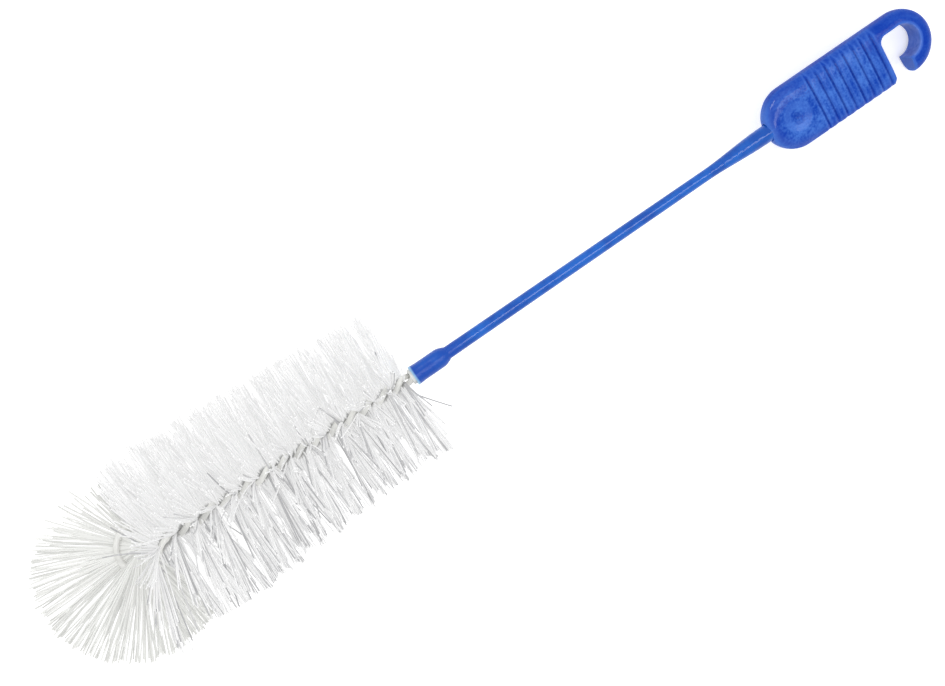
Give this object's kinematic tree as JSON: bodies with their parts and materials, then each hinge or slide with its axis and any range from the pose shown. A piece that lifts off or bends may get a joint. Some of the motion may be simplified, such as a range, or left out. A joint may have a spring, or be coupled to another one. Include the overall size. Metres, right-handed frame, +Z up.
{
  "type": "bottle brush",
  "caption": "Twisted-wire bottle brush with a round fan tip, on a thin plastic stem with a flat ribbed grip and a hanging hook, lying on its side.",
  "frame": {"origin": "on the table below the middle of the brush as it lies at rest", "axes": "+X from the fan tip towards the hook, +Y across the brush towards the closed side of the hook, +Z up from the table"},
  "size_m": [0.3998, 0.073, 0.0753],
  "materials": {
    "grip_plastic": "gloss",
    "stem_plastic": "gloss",
    "plug_plastic": "satin",
    "coated_wire": "gloss",
    "body_filament": "satin",
    "fan_filament": "satin"
  },
  "bodies": {
    "root": {"handle": "grip_plastic", "stem": "stem_plastic", "plug": "plug_plastic", "core_wire": "coated_wire", "body_bristles": "body_filament", "fan_bristles": "fan_filament"}
  },
  "joints": []
}
